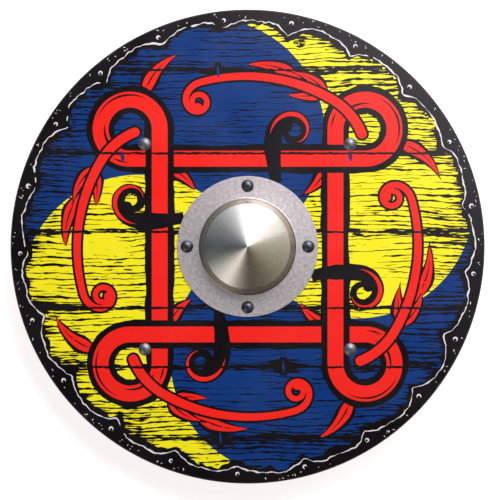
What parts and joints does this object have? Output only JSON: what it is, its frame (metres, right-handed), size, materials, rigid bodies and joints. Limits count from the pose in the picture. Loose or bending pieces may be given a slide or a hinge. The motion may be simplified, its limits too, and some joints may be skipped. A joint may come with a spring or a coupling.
{
  "type": "wooden round shield",
  "caption": "Flat round plywood shield with a printed face, a conical steel boss bolted at its centre, and leather arm and grip straps bolted across its back.",
  "frame": {"origin": "on the floor that the shield lies on, straight under the centre of its round board", "axes": "+Z out of the painted face, which looks up; +X towards the arm strap, along the printed planks; +Y along the straps, towards the top of the face"},
  "size_m": [0.61, 0.61, 0.0941],
  "materials": {
    "printed_wood": "plywood, printed in blue, yellow, red and black and varnished",
    "spun_steel": "spun, satin",
    "dark_steel": "dark, polished",
    "zinc_steel": "zinc plated",
    "strap_leather": "vegetable tanned, brown"
  },
  "bodies": {
    "root": {"board": "printed_wood", "boss": "spun_steel", "boss_bolt_right": "dark_steel", "boss_bolt_top": "dark_steel", "boss_bolt_left": "dark_steel", "boss_bolt_bottom": "dark_steel", "strap_bolt_upper_left": "dark_steel", "strap_bolt_upper_right": "dark_steel", "strap_bolt_lower_left": "dark_steel", "strap_bolt_lower_right": "dark_steel", "boss_washer_right": "zinc_steel", "boss_washer_top": "zinc_steel", "boss_washer_left": "zinc_steel", "boss_washer_bottom": "zinc_steel", "strap_washer_upper_left": "zinc_steel", "strap_washer_upper_right": "zinc_steel", "strap_washer_lower_left": "zinc_steel", "strap_washer_lower_right": "zinc_steel", "boss_nut_right": "zinc_steel", "boss_nut_top": "zinc_steel", "boss_nut_left": "zinc_steel", "boss_nut_bottom": "zinc_steel", "strap_nut_upper_left": "zinc_steel", "strap_nut_upper_right": "zinc_steel", "strap_nut_lower_left": "zinc_steel", "strap_nut_lower_right": "zinc_steel", "arm_strap": "strap_leather", "grip_strap": "strap_leather"}
  },
  "joints": []
}
